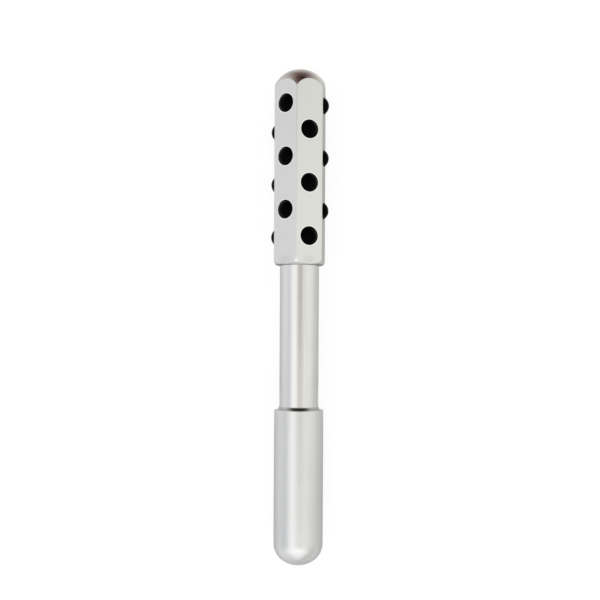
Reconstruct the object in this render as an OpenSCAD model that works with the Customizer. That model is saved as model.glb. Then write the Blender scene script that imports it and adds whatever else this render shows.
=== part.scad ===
// Hand-held face roller stick: a hexagonal metal head with eighteen loose beads, a round neck
// and a thicker round handle cap, lying on a table with its head towards +Y.

/* [Head] */
// Width of the hexagonal head across its flats
head_flats = 14.9; // [13.5:0.1:17]
// How far the corners of the hexagon are broken by turning
corner_break = 0.08; // [0.02:0.01:0.3]
// How much larger the radius of the domed end is than the hexagon's corner radius
dome_extra = 0.3; // [0.1:0.02:4]
// Radius that rounds the corners at the neck end
rim_round = 2; // [0.4:0.05:2.4]
// Least width of the flat end face that this round leaves about the neck
rim_land = 0.3; // [0.1:0.05:1]

/* [Beads] */
// Diameter of a bead
bead_d = 6; // [5:0.1:6.8]
// How far a bead stands out of its face
bead_proud = 1.5; // [0.8:0.05:1.8]
// Free ring between a bead and the edge of its hole
hole_ring = 0.18; // [0.1:0.01:0.24]
// Width of the chamfer round each hole
hole_chamfer = 0.12; // [0.04:0.01:0.3]
// Beads on each face
beads_per_face = 3; // [1:1:6]
// Distance between the beads of one face
bead_pitch = 16.3; // [13:0.1:24]
// Distance from the tip to the first beads
first_bead = 11.4; // [10:0.1:20]
// Distance from the last beads to the neck end of the head
last_bead = 8.8; // [7:0.05:20]

/* [Neck] */
// Outer diameter of the neck tube
neck_d = 12.1; // [11:0.1:12.8]
// Wall of the neck tube
neck_wall = 1.5; // [0.8:0.05:2]
// Length of neck that shows between the head and the handle cap
neck_len = 44.7; // [20:0.1:90]
// Length of neck tube inside the handle cap
neck_in_cap = 14; // [8:0.5:24]

/* [Handle cap] */
// Outer diameter of the handle cap
cap_d = 15.3; // [14.4:0.1:22]
// Length of the handle cap from its butt to its rim
cap_len = 48.35; // [42:0.05:90]
// How much larger the radius in the middle of the rounded butt is than the cap's radius
butt_extra = 0.65; // [0.15:0.05:20]
// Radius that joins the butt to the side
butt_corner = 6.3; // [2:0.1:6.6]
// How far the corner stands proud of the crown where they meet
butt_blend = 0.02; // [0.01:0.01:0.1]
// Radius of the hollow collar that rises from the rim to the neck
collar_round = 0.9; // [0.3:0.05:1.2]
// Wall left round the bore at the top of the collar
collar_land = 0.1; // [0.05:0.05:0.3]
// Chamfer on the outer edge of the rim
rim_chamfer = 0.2; // [0.05:0.05:0.5]

/* [Inside] */
// Running or push clearance on each radius
fit_gap = 0.05; // [0.02:0.01:0.12]
// End clearance between pieces that don't clamp each other
end_gap = 0.15; // [0.05:0.01:0.3]
// Bore left past the first beads
bore_past = 1.3; // [0.5:0.1:2]
// Diameter of the spigot that centres the bead core in the dome
spigot_d = 3.9; // [2:0.1:4.4]
// Length of that spigot
spigot_len = 3.2; // [1:0.1:4]
// Thickness of the bush's flange
flange_t = 0.8; // [0.4:0.05:1.2]
// Length of the bush inside the neck tube
bush_len = 8; // [6:0.5:20]
// Depth to which the bead core sits in its bush
core_seat = 6; // [3:0.5:6.5]
// Length of the threaded plug in the neck tube
plug_len = 12; // [9:0.5:20]
// Major diameter of the stud that holds the handle cap
stud_d = 6; // [4:0.5:6.5]
// Length of the stud
stud_len = 16; // [8:0.5:17]
// Drilled depth left past the ends of the stud
stud_past = 1; // [0.5:0.1:2]

/* [Resting position] */
// Turn of the head about its axis, at which it lies on one corner and one row of beads
roll = 7; // [0:1:30]

/* [Hidden] */
$fn = 96;
FACES = 6;
ARC_STEPS = 8;

// Lengths along the stick, from the butt at 0 to the tip
row_shift = bead_pitch / 2;
head_len = first_bead + (beads_per_face - 1) * bead_pitch + row_shift + last_bead;
head_z = cap_len + neck_len;
tip_z = head_z + head_len;

// Radii of the head
flat_r = head_flats / 2;
hex_r = flat_r / cos(180 / FACES);
corner_r = hex_r - corner_break;
dome_r = hex_r + dome_extra;
bore_r = neck_d / 2 + fit_gap;

// Beads: the radius at which their centres lie, and their holes
bead_r = bead_d / 2;
bead_orbit = flat_r + bead_proud - bead_r;
socket_r = bead_r + fit_gap;
hole_r = sqrt(pow(bead_r, 2) - pow(flat_r - bead_orbit, 2)) + hole_ring;

// Inner pieces along the stick
bore_top = tip_z - first_bead + bead_r + bore_past;
neck_top = head_z + last_bead - bead_r - end_gap - flange_t;
neck_bottom = cap_len - neck_in_cap;
neck_bore_r = neck_d / 2 - neck_wall;
core_r = bead_orbit - bead_r - fit_gap;
core_bottom = neck_top + flange_t - core_seat;
stud_bottom = neck_bottom - stud_len / 2;

// Height of the axis above the table: the lowest corner or the lowest bead touches it
land_half = 180 / FACES - acos(flat_r / corner_r);
corner_drops = [for (face = [1:FACES])
    corner_r * cos(max(0, abs(from_down(face_angle(face) + 180 / FACES)) - land_half))];
bead_drops = [for (face = [1:FACES]) bead_orbit * cos(from_down(face_angle(face))) + bead_r];
axis_height = max(concat(corner_drops, bead_drops));

function bead_name(face, row) = str("bead_", face, "_", row);

// Angle of a face's normal about the axis, from straight up towards +X
function face_angle(face) = (face - 1.5) * 360 / FACES - roll;

// The same angle counted from straight down, between -180 and 180
function from_down(angle) = (angle % 360 + 360) % 360 - 180;

// Place of a bead along the stick; every other face is shifted by half a pitch
function bead_z(face, row) =
    tip_z - first_bead - (row - 1) * bead_pitch - ((face - 1) % 2) * row_shift;

// Lays a piece that stands on its butt down on the table
module lay_down() {
    translate([0, -tip_z / 2, axis_height])
        rotate([-90, 0, 0])
            children();
}

// Turns +X to a face's normal, at one bead's place
module at_bead(face, row) {
    translate([0, 0, bead_z(face, row)])
        rotate([0, 0, face_angle(face) - 90])
            children();
}

module rod(r, bottom, top) {
    translate([0, 0, bottom])
        cylinder(r = r, h = top - bottom);
}

// Points along an arc
function arc(centre, r, from, to, steps) = [for (i = [0:steps])
    let (angle = from + (to - from) * i / steps)
        centre + r * [cos(angle), sin(angle)]
];

// Turned outline of the head: flat end with a rounded rim, straight side and dome
module head_outline() {
    round_r = min(rim_round, corner_r - bore_r - rim_land);
    dome_z = tip_z - dome_r;
    polygon(concat(
        [[0, head_z]],
        arc([corner_r - round_r, head_z + round_r], round_r, -90, 0, ARC_STEPS),
        [[corner_r, dome_z], [0, dome_z]]
    ));
    translate([0, dome_z])
        intersection() {
            circle(r = dome_r);
            square([corner_r, 2 * dome_r]);
        }
}

// Turned outline of a bead's pocket about the hole's axis, from the bead's centre at 0:
// straight from the bore, a ball seat, the hole in the face and its chamfer
module pocket_outline() {
    face_y = flat_r - bead_orbit;
    translate([0, -bead_r])
        square([socket_r, bead_r]);
    intersection() {
        circle(r = socket_r);
        square(2 * socket_r);
    }
    square([hole_r, face_y + hole_chamfer]);
    polygon([
        [0, face_y - hole_chamfer],
        [hole_r, face_y - hole_chamfer],
        [hole_r + 2 * hole_chamfer, face_y + hole_chamfer],
        [0, face_y + hole_chamfer]
    ]);
}

module bead_pocket() {
    translate([bead_orbit, 0, 0])
        rotate([0, 90, 0])
            rotate_extrude()
                pocket_outline();
}

module head_shell() {
    color("silver")
        lay_down()
            difference() {
                intersection() {
                    rotate_extrude()
                        head_outline();
                    rotate([0, 0, face_angle(1) - 90 + 180 / FACES])
                        translate([0, 0, head_z])
                            cylinder(r = hex_r, h = head_len, $fn = FACES);
                }
                rod(bore_r, head_z - 1, bore_top);
                rod(spigot_d / 2 + fit_gap, head_z, bore_top + spigot_len + end_gap);
                for (face = [1:FACES], row = [1:beads_per_face])
                    at_bead(face, row)
                        bead_pocket();
            }
}

module bead(face, row) {
    color("black")
        lay_down()
            at_bead(face, row)
                translate([bead_orbit, 0, 0])
                    sphere(r = bead_r);
}

// Round bar behind the beads, which keeps them in their sockets
module bead_core() {
    color("dimgray")
        lay_down() {
            rod(core_r, core_bottom, bore_top - end_gap);
            rod(spigot_d / 2, core_bottom, bore_top + spigot_len - end_gap);
        }
}

// Flanged bush in the top of the neck tube, which centres the bead core
module core_bush() {
    color("darkgray")
        lay_down()
            difference() {
                union() {
                    rod(bore_r - 2 * fit_gap, neck_top, neck_top + flange_t);
                    rod(neck_bore_r - fit_gap, neck_top - bush_len, neck_top + flange_t);
                }
                rod(core_r + fit_gap, core_bottom, neck_top + flange_t + 1);
            }
}

module neck_tube() {
    color("gainsboro")
        lay_down()
            difference() {
                rod(neck_d / 2, neck_bottom, neck_top);
                rod(neck_bore_r, neck_bottom - 1, neck_top + 1);
            }
}

// Threaded plug in the lower end of the neck tube
module neck_plug() {
    color("darkgray")
        lay_down()
            difference() {
                rod(neck_bore_r - fit_gap, neck_bottom, neck_bottom + plug_len);
                rod(stud_d / 2 + fit_gap, neck_bottom - 1, neck_bottom + stud_len / 2 + stud_past);
            }
}

module joint_stud() {
    color("slategray")
        lay_down()
            rod(stud_d / 2, stud_bottom, stud_bottom + stud_len);
}

// Slice of a disc between two directions less than a third of a turn apart
module slice(centre, r, from, to) {
    reach = 2 * r;
    translate(centre)
        intersection() {
            circle(r = r);
            polygon([
                [0, 0],
                reach * [cos(from), sin(from)],
                reach * [cos(to), sin(to)]
            ]);
        }
}

// Turned outline of the handle cap: crowned butt, straight side, flat rim and hollow collar.
// The corner stands proud of the crown by butt_blend, so that their circles cross, and a
// square fills in where their slices meet
module cap_outline() {
    cap_r = cap_d / 2;
    crown_r = cap_r + butt_extra;
    corner_x = cap_r - butt_corner;
    centre_gap = crown_r - butt_corner + butt_blend;
    corner_z = crown_r - sqrt(pow(centre_gap, 2) - pow(corner_x, 2));
    slice([0, crown_r], crown_r, -90, atan2(corner_z - crown_r, corner_x));
    slice([corner_x, corner_z], butt_corner, -90, 0);
    translate([0, corner_z - butt_corner / 2])
        square([corner_x + butt_corner / 2, butt_corner]);

    collar_r = bore_r + collar_land;
    round_r = min(collar_round, cap_r - rim_chamfer - collar_r - collar_land);
    polygon(concat(
        [
            [0, corner_z],
            [cap_r, corner_z],
            [cap_r, cap_len - rim_chamfer],
            [cap_r - rim_chamfer, cap_len]
        ],
        arc([collar_r + round_r, cap_len + round_r], round_r, -90, -180, ARC_STEPS),
        [[0, cap_len + round_r]]
    ));
}

module handle_cap() {
    color("silver")
        lay_down()
            difference() {
                rotate_extrude()
                    cap_outline();
                rod(bore_r, neck_bottom, cap_len + collar_round + 1);
                rod(stud_d / 2 + fit_gap, stud_bottom - stud_past, neck_bottom + 1);
            }
}

head_shell();
bead_core();
core_bush();
neck_tube();
neck_plug();
joint_stud();
handle_cap();
for (face = [1:FACES], row = [1:beads_per_face])
    bead(face, row);
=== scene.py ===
"""Looks of the bead roller massage stick: camera, soft studio light, floor and finishes."""
import math

import bpy
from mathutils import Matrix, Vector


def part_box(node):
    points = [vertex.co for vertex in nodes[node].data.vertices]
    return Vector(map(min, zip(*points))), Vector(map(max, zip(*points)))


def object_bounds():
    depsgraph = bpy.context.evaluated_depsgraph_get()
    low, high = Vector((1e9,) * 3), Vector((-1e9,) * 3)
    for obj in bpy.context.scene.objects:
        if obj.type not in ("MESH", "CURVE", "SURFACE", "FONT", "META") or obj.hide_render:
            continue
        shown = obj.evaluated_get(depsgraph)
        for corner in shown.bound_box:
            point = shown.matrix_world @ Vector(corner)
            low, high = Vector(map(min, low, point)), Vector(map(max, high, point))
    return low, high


MM = 0.001
DEGREES = math.degrees(1)
RADIANS = math.radians(1)

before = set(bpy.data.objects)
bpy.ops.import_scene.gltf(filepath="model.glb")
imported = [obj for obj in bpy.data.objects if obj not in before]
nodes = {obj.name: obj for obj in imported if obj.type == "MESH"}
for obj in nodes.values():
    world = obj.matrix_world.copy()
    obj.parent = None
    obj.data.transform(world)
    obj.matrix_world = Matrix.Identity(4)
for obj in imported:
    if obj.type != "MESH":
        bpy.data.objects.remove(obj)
cad_low, cad_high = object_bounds()

# The stick lies along Y, its tip towards +Y; its axis is halfway up the bounding box
AXIS_HEIGHT = (cad_low.z + cad_high.z) / 2
TIP_Y = cad_high.y
DOME_RADIUS = 8.9 * MM
HEAD_END_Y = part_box("head_shell")[0].y
CAP_END_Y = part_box("handle_cap")[1].y


def middle(name):
    low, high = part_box(name)
    return (low + high) / 2


# Beads: those of one face are a step apart, and every other face is shifted by half a step
FIRST_BEAD = middle("bead_1_1")
ROW_STEP = FIRST_BEAD.y - middle("bead_1_2").y
ROWS = 3
# Degrees from one face to the next, and from straight up to the first face
FACE_STEP = 60
FACE_TURN = math.atan2(FIRST_BEAD.x, FIRST_BEAD.z - AXIS_HEIGHT) * DEGREES

# The photograph: where the tip and the foot of the camera's axis lie in its frame and how far
# the camera stood from the axis of the stick, in pixels, with y downwards
IMAGE_SIZE = 600
IMAGE_CENTRE = IMAGE_SIZE / 2
TIP_PIXEL_Y = 69.8
FOOT_PIXEL_Y = 341
FOOT_PIXEL_X = 299.1
DISTANCE_PIXELS = 1203
MM_PER_PIXEL = 0.311
LEAN = 0.31 * RADIANS
SENSOR = 36


def make_camera():
    """Straight above the foot, and shifted so that the view has the photograph's frame."""
    pixel = MM_PER_PIXEL * MM
    data = bpy.data.cameras.new("photo_camera")
    data.sensor_width = SENSOR
    data.lens = SENSOR * DISTANCE_PIXELS / IMAGE_SIZE
    data.shift_y = (FOOT_PIXEL_Y - IMAGE_CENTRE) / IMAGE_SIZE
    camera = bpy.data.objects.new("photo_camera", data)
    bpy.context.scene.collection.objects.link(camera)
    foot_y = TIP_Y - (FOOT_PIXEL_Y - TIP_PIXEL_Y) * pixel
    foot_x = (IMAGE_CENTRE - FOOT_PIXEL_X) * pixel
    camera.location = (foot_x, foot_y, AXIS_HEIGHT + DISTANCE_PIXELS * pixel)
    camera.rotation_euler = (0, 0, LEAN)
    bpy.context.scene.camera = camera


def grey(level):
    return (level, level, level)


WHITE = grey(1.0)
BLACK = grey(0.0)

# Sockets of a mix node that mixes colours
MIX_FACTOR = 0
MIX_FIRST = 6
MIX_SECOND = 7
MIX_RESULT = 2


class Tree:
    """Short calls for building a node tree."""

    def __init__(self, tree):
        self.tree = tree
        tree.nodes.clear()

    def put(self, socket, value):
        """Sets a socket to a value, or links it to another socket."""
        if isinstance(value, bpy.types.NodeSocket):
            self.tree.links.new(value, socket)
        else:
            socket.default_value = value

    def add(self, kind, inputs=None, **settings):
        node = self.tree.nodes.new(kind)
        for name, value in settings.items():
            setattr(node, name, value)
        for name, value in (inputs or {}).items():
            self.put(node.inputs[name], value)
        return node

    def math(self, operation, *values):
        return self.add("ShaderNodeMath", dict(enumerate(values)), operation=operation).outputs[0]

    def vector(self, operation, inputs, output="Vector"):
        return self.add("ShaderNodeVectorMath", inputs, operation=operation).outputs[output]

    def length(self, first, second):
        """Length of a flat vector."""
        squares = [self.math("MULTIPLY", value, value) for value in (first, second)]
        return self.math("SQRT", self.math("ADD", *squares))

    def parts(self, vector):
        """The three components of a vector."""
        return self.add("ShaderNodeSeparateXYZ", {"Vector": vector}).outputs

    def place_mm(self):
        """Place on the object, in millimetres."""
        place = self.add("ShaderNodeTexCoord").outputs["Object"]
        return self.vector("SCALE", {0: place, "Scale": 1 / MM})

    def noise(self, place, scale, detail=2):
        inputs = {"Vector": place, "Scale": scale, "Detail": detail}
        return self.add("ShaderNodeTexNoise", inputs).outputs["Fac"]

    def bump(self, height, depth_mm):
        """Normal of a surface whose relief is up to the depth."""
        inputs = {"Height": height, "Strength": 1.0, "Distance": depth_mm * MM}
        return self.add("ShaderNodeBump", inputs).outputs["Normal"]

    def mix(self, factor, first, second, blend="MIX"):
        node = self.add("ShaderNodeMix", data_type="RGBA", blend_type=blend)
        self.put(node.inputs[MIX_FACTOR], factor)
        for socket, value in ((MIX_FIRST, first), (MIX_SECOND, second)):
            self.put(node.inputs[socket], (*value, 1) if isinstance(value, tuple) else value)
        return node.outputs[MIX_RESULT]

    def times(self, first, second):
        """Two colours or levels multiplied."""
        return self.mix(1.0, first, second, "MULTIPLY")

    def plus(self, first, second):
        """Two colours or levels added."""
        return self.mix(1.0, first, second, "ADD")

    def ramp(self, value, stops, span=(0, 1)):
        """Colour by the value, from (value, colour or level) stops that lie within the span."""
        low, high = span
        factor = self.math("MULTIPLY_ADD", value, 1 / (high - low), -low / (high - low))
        node = self.add("ShaderNodeValToRGB", {"Fac": factor})
        ramp = node.color_ramp
        ramp.interpolation = "EASE"
        while len(ramp.elements) > 1:
            ramp.elements.remove(ramp.elements[-1])
        for number, (at, colour) in enumerate(stops):
            position = (at - low) / (high - low)
            element = ramp.elements[0] if number == 0 else ramp.elements.new(position)
            element.position = position
            element.color = (*colour, 1) if isinstance(colour, tuple) else (*grey(colour), 1)
        return node.outputs["Color"]


# Spans of the lists below: shares of a direction along an axis, angles about the stick, and the
# size of such an angle
SHARES = (-1, 1)
ANGLES = (-180, 180)
ANGLE_SIZES = (0, 180)

# Above every level in the lists below, and scales them to the range of a colour ramp
PEAK = 1.6

# Light panels along the stick, by angle in degrees from straight up, negative to the left
SIDES = [
    (-180, (0.90, 0.90, 0.90)),
    (-105, (0.99, 0.99, 1.00)),
    (-85, (1.05, 1.05, 1.07)),
    (-68, (0.95, 0.95, 0.98)),
    (-54, (0.99, 0.99, 1.02)),
    (-42, (1.24, 1.25, 1.26)),
    (-29, (1.38, 1.39, 1.35)),
    (-16, (1.265, 1.265, 1.22)),
    (-4, (1.11, 1.10, 1.065)),
    (16, (1.09, 1.095, 1.05)),
    (32, (1.09, 1.10, 1.03)),
    (54, (1.165, 1.175, 1.115)),
    (68, (1.155, 1.165, 1.105)),
    (84, (1.06, 1.07, 1.02)),
    (100, (1.00, 1.01, 0.96)),
    (180, (0.90, 0.90, 0.88)),
]
# How the light near the table fades towards the butt: where it does, by the size of the same
# angle, and the light that is left, by the direction's share towards the tip
LOW_LIGHT = [(30, 0.0), (60, 1.0)]
LOW_FADE = [(-0.16, 0.77), (-0.09, 0.855), (-0.01, 0.95), (0.05, 1.0)]
# The panel behind the butt, by the same angle, and its fading towards the table
BACK = [
    (-180, (0.70, 0.70, 0.70)),
    (-94, (0.80, 0.80, 0.80)),
    (-70, (1.00, 1.00, 1.01)),
    (-36, (1.33, 1.33, 1.33)),
    (-8, (1.46, 1.47, 1.46)),
    (12, (1.44, 1.45, 1.43)),
    (29, (1.32, 1.33, 1.31)),
    (45, (1.12, 1.13, 1.11)),
    (61, (0.85, 0.85, 0.84)),
    (75, (0.72, 0.72, 0.71)),
    (94, (0.66, 0.66, 0.65)),
    (180, (0.68, 0.68, 0.68)),
]
BACK_FADE = [(-1.0, 0.82), (-0.6, 1.0)]
# Beyond the tip, by the direction's share to the right: dark in the middle
FRONT = [
    (-1.0, (0.85, 0.85, 0.84)),
    (-0.70, (0.74, 0.72, 0.70)),
    (-0.50, (0.62, 0.58, 0.55)),
    (-0.32, (0.36, 0.28, 0.25)),
    (-0.20, (0.13, 0.060, 0.040)),
    (-0.10, (0.070, 0.030, 0.020)),
    (0.05, (0.032, 0.009, 0.005)),
    (0.18, (0.032, 0.009, 0.005)),
    (0.27, (0.08, 0.045, 0.035)),
    (0.36, (0.22, 0.17, 0.15)),
    (0.48, (0.40, 0.37, 0.35)),
    (0.70, (0.61, 0.60, 0.575)),
    (1.0, (0.79, 0.78, 0.76)),
]
# Higher up beyond the tip it turns into a plain pale grey: where, by the share upwards, and the
# grey, by the share to the right
FRONT_PALE_SHARE = [(0.52, 0.0), (0.70, 1.0)]
FRONT_PALE = [
    (-1.0, (0.85, 0.85, 0.85)),
    (-0.50, (0.68, 0.68, 0.67)),
    (0.0, (0.54, 0.54, 0.535)),
    (0.50, (0.56, 0.56, 0.55)),
    (1.0, (0.79, 0.78, 0.77)),
]
# Gap between the panels overhead, by the direction's share to the right: light that is left,
# beside the stick's middle and nearer to its tip
GAP = [
    (-0.22, (1.0, 1.0, 1.0)),
    (-0.07, (0.58, 0.53, 0.51)),
    (0.17, (0.58, 0.53, 0.51)),
    (0.47, (1.0, 1.0, 1.0)),
]
GAP_AT_TIP = [
    (-0.42, (1.0, 1.0, 1.0)),
    (-0.30, (0.58, 0.54, 0.52)),
    (0.22, (0.58, 0.54, 0.52)),
    (0.40, (1.0, 1.0, 1.0)),
]
# How much of the gap shows and where it turns into the wider one, by the share towards the tip
GAP_DEPTH = [(-0.16, 0.0), (-0.09, 0.25), (0.0, 0.80), (0.06, 1.0)]
GAP_WIDENS = [(0.10, 0.0), (0.16, 1.0)]
# Where the back panel and the dark beyond the tip take over, by the same share
BACK_SHARE = [(-0.36, 1.0), (-0.22, 0.0)]
FRONT_SHARE = [(0.03, 0.0), (0.12, 0.07), (0.20, 0.16), (0.27, 0.34), (0.38, 0.90), (0.50, 1.0)]


def scaled(stops):
    """Colour stops as shares of the peak."""
    return [(at, tuple(c / PEAK for c in colour)) for at, colour in stops]


def make_world():
    """Pale panels to the left, right and back, a gap between them overhead, and a dark end."""
    world = bpy.data.worlds.new("studio")
    bpy.context.scene.world = world
    world.use_nodes = True
    tree = Tree(world.node_tree)
    x, y, z = tree.parts(tree.add("ShaderNodeTexCoord").outputs["Generated"])
    angle = tree.math("MULTIPLY", tree.math("ARCTAN2", x, z), DEGREES)

    widens = tree.ramp(y, GAP_WIDENS, SHARES)
    gap = tree.mix(widens, tree.ramp(x, GAP, SHARES), tree.ramp(x, GAP_AT_TIP, SHARES))
    gap = tree.mix(tree.ramp(y, GAP_DEPTH, SHARES), WHITE, gap)
    low = tree.ramp(tree.math("ABSOLUTE", angle), LOW_LIGHT, ANGLE_SIZES)
    fade = tree.mix(low, WHITE, tree.ramp(y, LOW_FADE, SHARES))
    sides = tree.times(tree.ramp(angle, scaled(SIDES), ANGLES), tree.times(gap, fade))
    back = tree.times(tree.ramp(angle, scaled(BACK), ANGLES), tree.ramp(y, BACK_FADE, SHARES))

    dark = tree.ramp(x, scaled(FRONT), SHARES)
    pale = tree.ramp(x, scaled(FRONT_PALE), SHARES)
    front = tree.mix(tree.ramp(z, FRONT_PALE_SHARE, SHARES), dark, pale)

    light = tree.mix(tree.ramp(y, BACK_SHARE, SHARES), sides, back)
    light = tree.mix(tree.ramp(y, FRONT_SHARE, SHARES), light, front)
    glow = tree.add("ShaderNodeBackground", {"Color": light, "Strength": PEAK}).outputs[0]
    white = tree.add("ShaderNodeBackground", {"Color": (*WHITE, 1), "Strength": 1.0}).outputs[0]
    seen = tree.add("ShaderNodeLightPath").outputs["Is Camera Ray"]
    chosen = tree.add("ShaderNodeMixShader", {0: seen, 1: glow, 2: white}).outputs[0]
    tree.add("ShaderNodeOutputWorld", {"Surface": chosen})


FLOOR_SIZE = 6
FLOOR_WHITE = 0.80
# For the camera the floor is mostly even white, and the rest carries the shadow
FLOOR_SHADED = 0.20
FLOOR_LIFT = 0.85
# What the metal sees of the floor, in millimetres: painted shade by the distance from the stick's
# axis and by the place along it, painted light added by the place across, and more painted
# light close beside the cap's rim
FLOOR_PAINTED_SHADE = [(9, 0.84), (15, 0.93), (25, 1.06), (60, 1.15)]
FLOOR_PAINTED_SHADE_ALONG = [(-95, 1.0), (-78, 0.87), (-30, 0.93), (-5, 1.0)]
FLOOR_PAINTED_LIGHT = [(-60, 0.15), (60, 0.0)]
PAINTED_RIM_LIGHT_BESIDE = [(11, 1.0), (16, 0.0)]
PAINTED_RIM_LIGHT = [(-36, 0.0), (-31, 0.22), (-26, 0.22), (-20, 0.0)]
# Beyond the tip: how a painted dark patch takes over, by the direction's share towards the tip
# from the dome's centre, by the distance from that centre the share that stays plain and the
# painted light added, and how that light fades to the left, by the direction's share to the right
FLOOR_PAINTED_DARK = [(0.03, 0.0), (0.32, 0.25), (0.80, 1.0)]
FLOOR_PLAIN = [(12, 1.0), (18, 0.80), (25, 0.44), (37, 0.12), (60, 0.0)]
TIP_PAINTED_LIGHT = [
    (12, (0.30, 0.30, 0.30)),
    (18, (0.32, 0.31, 0.30)),
    (25, (0.31, 0.275, 0.26)),
    (37, (0.22, 0.175, 0.16)),
    (60, (0.13, 0.090, 0.080)),
]
TIP_PAINTED_LIGHT_SIDE = [(-0.40, 0.36), (-0.10, 1.0)]
BRIGHTEST_TONE = 1.15
# Spans of these lists
FLOOR_AWAY = (0, 60)
FLOOR_ACROSS = (-60, 60)
FLOOR_LENGTH = (-100, 100)


def new_material(name):
    material = bpy.data.materials.new(name)
    material.use_nodes = True
    return material, Tree(material.node_tree)


def floor_beyond_tip(tree, place):
    """Painted dark patch on the floor beyond the tip, seen only by the metal: its painted shade
    and the painted light added to it.
    """
    dome = (0, (TIP_Y - DOME_RADIUS) / MM, AXIS_HEIGHT / MM)
    from_dome = tree.vector("SUBTRACT", {0: place, 1: dome})
    distance = tree.vector("LENGTH", {0: from_dome}, "Value")
    x, y, _ = tree.parts(tree.vector("NORMALIZE", {0: from_dome}))
    share = tree.ramp(y, FLOOR_PAINTED_DARK, SHARES)
    plain = tree.ramp(distance, FLOOR_PLAIN, FLOOR_AWAY)
    tone = tree.mix(share, WHITE, tree.mix(plain, tree.ramp(x, FRONT, SHARES), WHITE))
    glow = tree.times(share, tree.ramp(distance, TIP_PAINTED_LIGHT, FLOOR_AWAY))
    return tone, tree.times(glow, tree.ramp(x, TIP_PAINTED_LIGHT_SIDE, SHARES))


def floor_in_metal(tree):
    """What the metal sees of the whole floor: painted shade as a tone, and the painted light
    added to it.
    """
    place = tree.place_mm()
    across, along, _ = tree.parts(place)
    beside = tree.math("ABSOLUTE", across)
    tip_painted_shade, tip_painted_light = floor_beyond_tip(tree, place)
    tones = [(at, level / BRIGHTEST_TONE) for at, level in FLOOR_PAINTED_SHADE]
    tone = tree.times(
        tree.ramp(beside, tones, FLOOR_AWAY), tree.ramp(along, FLOOR_PAINTED_SHADE_ALONG, FLOOR_LENGTH)
    )
    rim_painted_light = tree.times(
        tree.ramp(beside, PAINTED_RIM_LIGHT_BESIDE, FLOOR_AWAY), tree.ramp(along, PAINTED_RIM_LIGHT, FLOOR_LENGTH)
    )
    glow = tree.times(tree.ramp(across, FLOOR_PAINTED_LIGHT, FLOOR_ACROSS), tip_painted_shade)
    glow = tree.plus(tree.plus(glow, tip_painted_light), rim_painted_light)
    return tree.times(tone, tip_painted_shade), glow


def make_floor():
    """White table top. The lift brings its lit part up to white; shadows on it stay.
    For rays that the metal mirrors it shows painted shade and painted light instead.
    """
    bpy.ops.mesh.primitive_plane_add(size=FLOOR_SIZE, location=(0, 0, 0))
    floor = bpy.context.object
    floor.name = "floor"
    material, tree = new_material("floor")
    tone, glow = floor_in_metal(tree)
    path = tree.add("ShaderNodeLightPath").outputs
    camera = path["Is Camera Ray"]
    mirrored = tree.math("MAXIMUM", path["Is Glossy Ray"], path["Is Transmission Ray"])
    lit = tree.mix(camera, grey(FLOOR_WHITE), grey(FLOOR_SHADED))
    # The colour that the metal mirrors carries painted shade near the stick and a painted dark
    # patch beyond the tip
    seen = tree.times(grey(FLOOR_WHITE * BRIGHTEST_TONE), tone)
    card = tree.add("ShaderNodeBsdfDiffuse", {"Color": tree.mix(mirrored, lit, seen)}).outputs[0]
    # The metal also mirrors painted light beside the stick, by the cap's rim and beyond the tip
    colour = tree.mix(camera, tree.mix(mirrored, BLACK, glow), grey(FLOOR_LIFT))
    lift = tree.add("ShaderNodeEmission", {"Color": colour, "Strength": 1.0}).outputs[0]
    both = tree.add("ShaderNodeAddShader", {0: card, 1: lift}).outputs[0]
    tree.add("ShaderNodeOutputMaterial", {"Surface": both})
    floor.data.materials.append(material)


# Shade in the corner between the head's end and the neck, in millimetres: tone by the distance
# from the axis, where it ends, by the place ahead of the head's end, and some more tone by the
# same place, which starts and is full at these distances to the side
HEAD_SHADE = [(6.3, 0.0), (6.9, 0.50), (7.5, 0.94), (8.0, 1.0)]
HEAD_SHADE_END = [(2.0, 0.0), (3.5, 1.0)]
HEAD_SHADE_SIDES = [(0.1, 0.50), (0.45, 1.0)]
HEAD_SIDES = [(4.0, 0.0), (5.5, 1.0)]
# Shade in the cap's hollow collar, by the place behind the collar's end: on top, at the sides,
# and the distances to the side between which the one turns into the other
CAP_SHADE = [(0.0, 0.70), (0.25, 0.15), (0.6, 0.12), (0.85, 0.45), (1.05, 0.75), (1.3, 1.0)]
CAP_SHADE_SIDES = [(0.0, 0.85), (0.3, 0.70), (0.6, 0.70), (0.9, 0.95), (1.1, 1.0)]
CAP_SIDES = [(1.5, 0.0), (4.0, 1.0)]
NEAR_END = (0, 10)
# How much of the painted highlight on the rim of a bead hole shows, by the distance from the
# hole's middle in millimetres
HOLE_HIGHLIGHT_SHARE = [(3.05, 1.0), (3.25, 0.0)]
NEAR_HOLE = (0, 4)
# Noise of the finishes, per millimetre: a wide cloud in metal and in beads, lines drawn out
# along the stick, and the rings that a turning tool leaves
CLOUD_SCALE = 0.09
CLOUD_DETAIL = 3
BEAD_CLOUD_SCALE = 0.9
LINE_SCALE = 2.5
LINE_STRETCH = (1.0, 0.012, 1.0)
TOOL_SCALE = 6
TOOL_STRETCH = (0.0, 1.0, 0.0)
# Levels of the noise between which a finish changes
CLOUD_BAND = (0.3, 0.7)
GRAIN_BAND = (0.35, 0.65)
# How much the finishes vary
CLOUD_TONE = 0.015
BEAD_TONE = 1.5
TOOL_TONE = 0.92
TOOL_DEPTH = 0.01
GLOSS_SPREAD = 0.06


def stick_place(tree):
    """Place across, along and above the axis of the stick, in millimetres."""
    across, along, height = tree.parts(tree.place_mm())
    return across, along, tree.math("SUBTRACT", height, AXIS_HEIGHT / MM)


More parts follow.
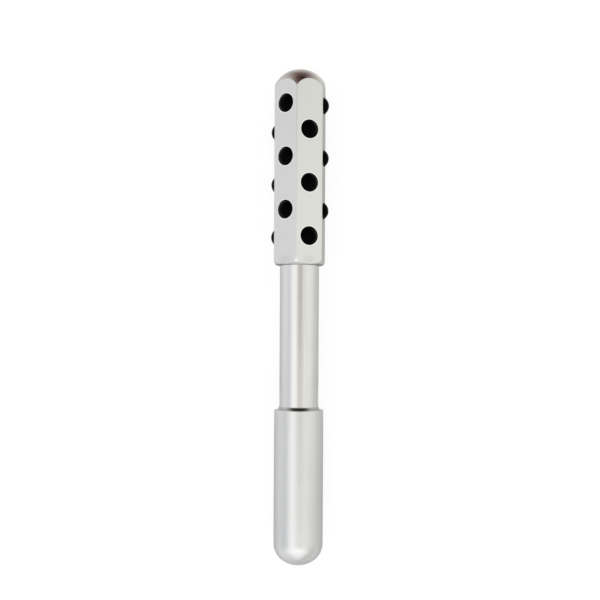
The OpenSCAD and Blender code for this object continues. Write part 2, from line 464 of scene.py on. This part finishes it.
def near_holes(tree):
    """1 on the rim of each bead's hole, where a highlight is painted, 0 away from it."""
    across, along, up = stick_place(tree)
    turn = tree.math("MULTIPLY", tree.math("ARCTAN2", across, up), DEGREES)
    turn = tree.math("SUBTRACT", turn, FACE_TURN)
    turn = tree.math("WRAP", turn, FACE_STEP * 1.5, -FACE_STEP / 2)
    second = tree.math("GREATER_THAN", turn, FACE_STEP / 2)
    turn = tree.math("MULTIPLY_ADD", second, -FACE_STEP, turn)
    sine = tree.math("SINE", tree.math("MULTIPLY", turn, RADIANS))
    side = tree.math("MULTIPLY", tree.length(across, up), sine)

    first = tree.math("MULTIPLY_ADD", second, -ROW_STEP / 2 / MM, FIRST_BEAD.y / MM)
    rows_back = tree.math("DIVIDE", tree.math("SUBTRACT", first, along), ROW_STEP / MM)
    row = tree.math("MINIMUM", tree.math("MAXIMUM", tree.math("ROUND", rows_back), 0), ROWS - 1)
    ahead = tree.math("MULTIPLY", tree.math("SUBTRACT", rows_back, row), ROW_STEP / MM)
    return tree.ramp(tree.length(side, ahead), HOLE_HIGHLIGHT_SHARE, NEAR_HOLE)


def head_shade(tree):
    """Tone of the head, darker where its end meets the neck."""
    across, along, up = stick_place(tree)
    ahead = tree.math("SUBTRACT", along, HEAD_END_Y / MM)
    tone = tree.ramp(tree.length(across, up), HEAD_SHADE, NEAR_END)
    tone = tree.mix(tree.ramp(ahead, HEAD_SHADE_END, NEAR_END), tone, WHITE)
    sides = tree.ramp(tree.math("ABSOLUTE", across), HEAD_SIDES, NEAR_END)
    more = tree.ramp(ahead, HEAD_SHADE_SIDES, NEAR_END)
    return tree.times(tone, tree.mix(sides, WHITE, more))


def cap_shade(tree):
    """Tone of the cap, darker in the hollow collar round the neck."""
    across, along, _ = stick_place(tree)
    behind = tree.math("SUBTRACT", CAP_END_Y / MM, along)
    sides = tree.ramp(tree.math("ABSOLUTE", across), CAP_SIDES, NEAR_END)
    on_top = tree.ramp(behind, CAP_SHADE, NEAR_END)
    return tree.mix(sides, on_top, tree.ramp(behind, CAP_SHADE_SIDES, NEAR_END))


def toned(colour, factor):
    return tuple(part * factor for part in colour)


def glossed(tree, cloud, roughness):
    """Roughness that varies about a middle value."""
    return tree.math("MULTIPLY_ADD", cloud, GLOSS_SPREAD, roughness - GLOSS_SPREAD / 2)


def finish(tree, inputs):
    surface = tree.add("ShaderNodeBsdfPrincipled", inputs).outputs[0]
    tree.add("ShaderNodeOutputMaterial", {"Surface": surface})


def metal(name, colour, roughness, grain_mm, grain_height, speck, streak=0, hole_highlight=0, shade=None):
    """Satin anodised aluminium: slight colour and gloss variation over a fine blasted grain.

    Speck and streak are how far the grain and the drawn lines darken it; a painted highlight
    brightens it round the bead holes by the given share; and shade gives a tone for the whole
    piece.
    """
    material, tree = new_material(name)
    place = tree.place_mm()
    cloud = tree.noise(place, CLOUD_SCALE, CLOUD_DETAIL)
    grain = tree.noise(place, 1 / grain_mm)
    tones = (toned(colour, 1 - CLOUD_TONE), toned(colour, 1 + CLOUD_TONE))
    base = tree.ramp(cloud, zip(CLOUD_BAND, tones))
    base = tree.times(base, tree.ramp(grain, zip(GRAIN_BAND, (1 - speck, 1.0))))
    if streak:
        drawn = tree.vector("MULTIPLY", {0: place, 1: LINE_STRETCH})
        lines = tree.noise(drawn, LINE_SCALE)
        base = tree.times(base, tree.ramp(lines, zip(GRAIN_BAND, (1 - streak, 1.0))))
    # Painted highlight on the rim of each bead hole
    if hole_highlight:
        base = tree.mix(near_holes(tree), base, toned(colour, 1 + hole_highlight))
    if shade:
        base = tree.times(base, shade(tree))
    finish(tree, {
        "Base Color": base,
        "Metallic": 1.0,
        "Roughness": glossed(tree, cloud, roughness),
        "Normal": tree.bump(grain, grain_height),
    })
    return material


def polish(name, colour, roughness, specular):
    """Black polished bead, with faint variation of gloss."""
    material, tree = new_material(name)
    cloud = tree.noise(tree.place_mm(), BEAD_CLOUD_SCALE)
    finish(tree, {
        "Base Color": tree.ramp(cloud, zip(CLOUD_BAND, (colour, toned(colour, BEAD_TONE)))),
        "Roughness": glossed(tree, cloud, roughness),
        "Specular IOR Level": specular,
    })
    return material


def turned(name, colour, metallic, roughness):
    """Plain turned surface of an inner piece: fine rings left by the tool."""
    material, tree = new_material(name)
    place = tree.vector("MULTIPLY", {0: tree.place_mm(), 1: TOOL_STRETCH})
    rings = tree.noise(place, TOOL_SCALE)
    finish(tree, {
        "Base Color": tree.ramp(rings, zip(CLOUD_BAND, (toned(colour, TOOL_TONE), colour))),
        "Metallic": metallic,
        "Roughness": roughness,
        "Normal": tree.bump(rings, TOOL_DEPTH),
    })
    return material


def dress(node, material):
    mesh = nodes[node].data
    mesh.materials.clear()
    mesh.materials.append(material)


make_camera()
make_world()
make_floor()

dress("head_shell", metal(
    "head_metal", (0.673, 0.673, 0.670), roughness=0.25,
    grain_mm=0.45, grain_height=0.003, speck=0.01, hole_highlight=0.22, shade=head_shade,
))
dress("neck_tube", metal(
    "neck_metal", (0.694, 0.692, 0.693), roughness=0.23,
    grain_mm=0.45, grain_height=0.006, speck=0.01, streak=0.04,
))
dress("handle_cap", metal(
    "cap_metal", (0.680, 0.686, 0.684), roughness=0.30,
    grain_mm=0.70, grain_height=0.016, speck=0.025, shade=cap_shade,
))
dress("bead_core", turned("core_plastic", (0.75, 0.75, 0.73), metallic=0.0, roughness=0.45))
dress("core_bush", turned("bush_plastic", (0.70, 0.70, 0.68), metallic=0.0, roughness=0.45))
dress("neck_plug", turned("plug_brass", (0.72, 0.58, 0.32), metallic=1.0, roughness=0.30))
dress("joint_stud", turned("stud_steel", (0.56, 0.56, 0.57), metallic=1.0, roughness=0.32))
black = polish("bead_black", grey(0.0003), roughness=0.33, specular=0.02)
for name in nodes:
    if name.startswith("bead_") and name != "bead_core":
        dress(name, black)

bpy.context.scene.view_settings.view_transform = "Standard"
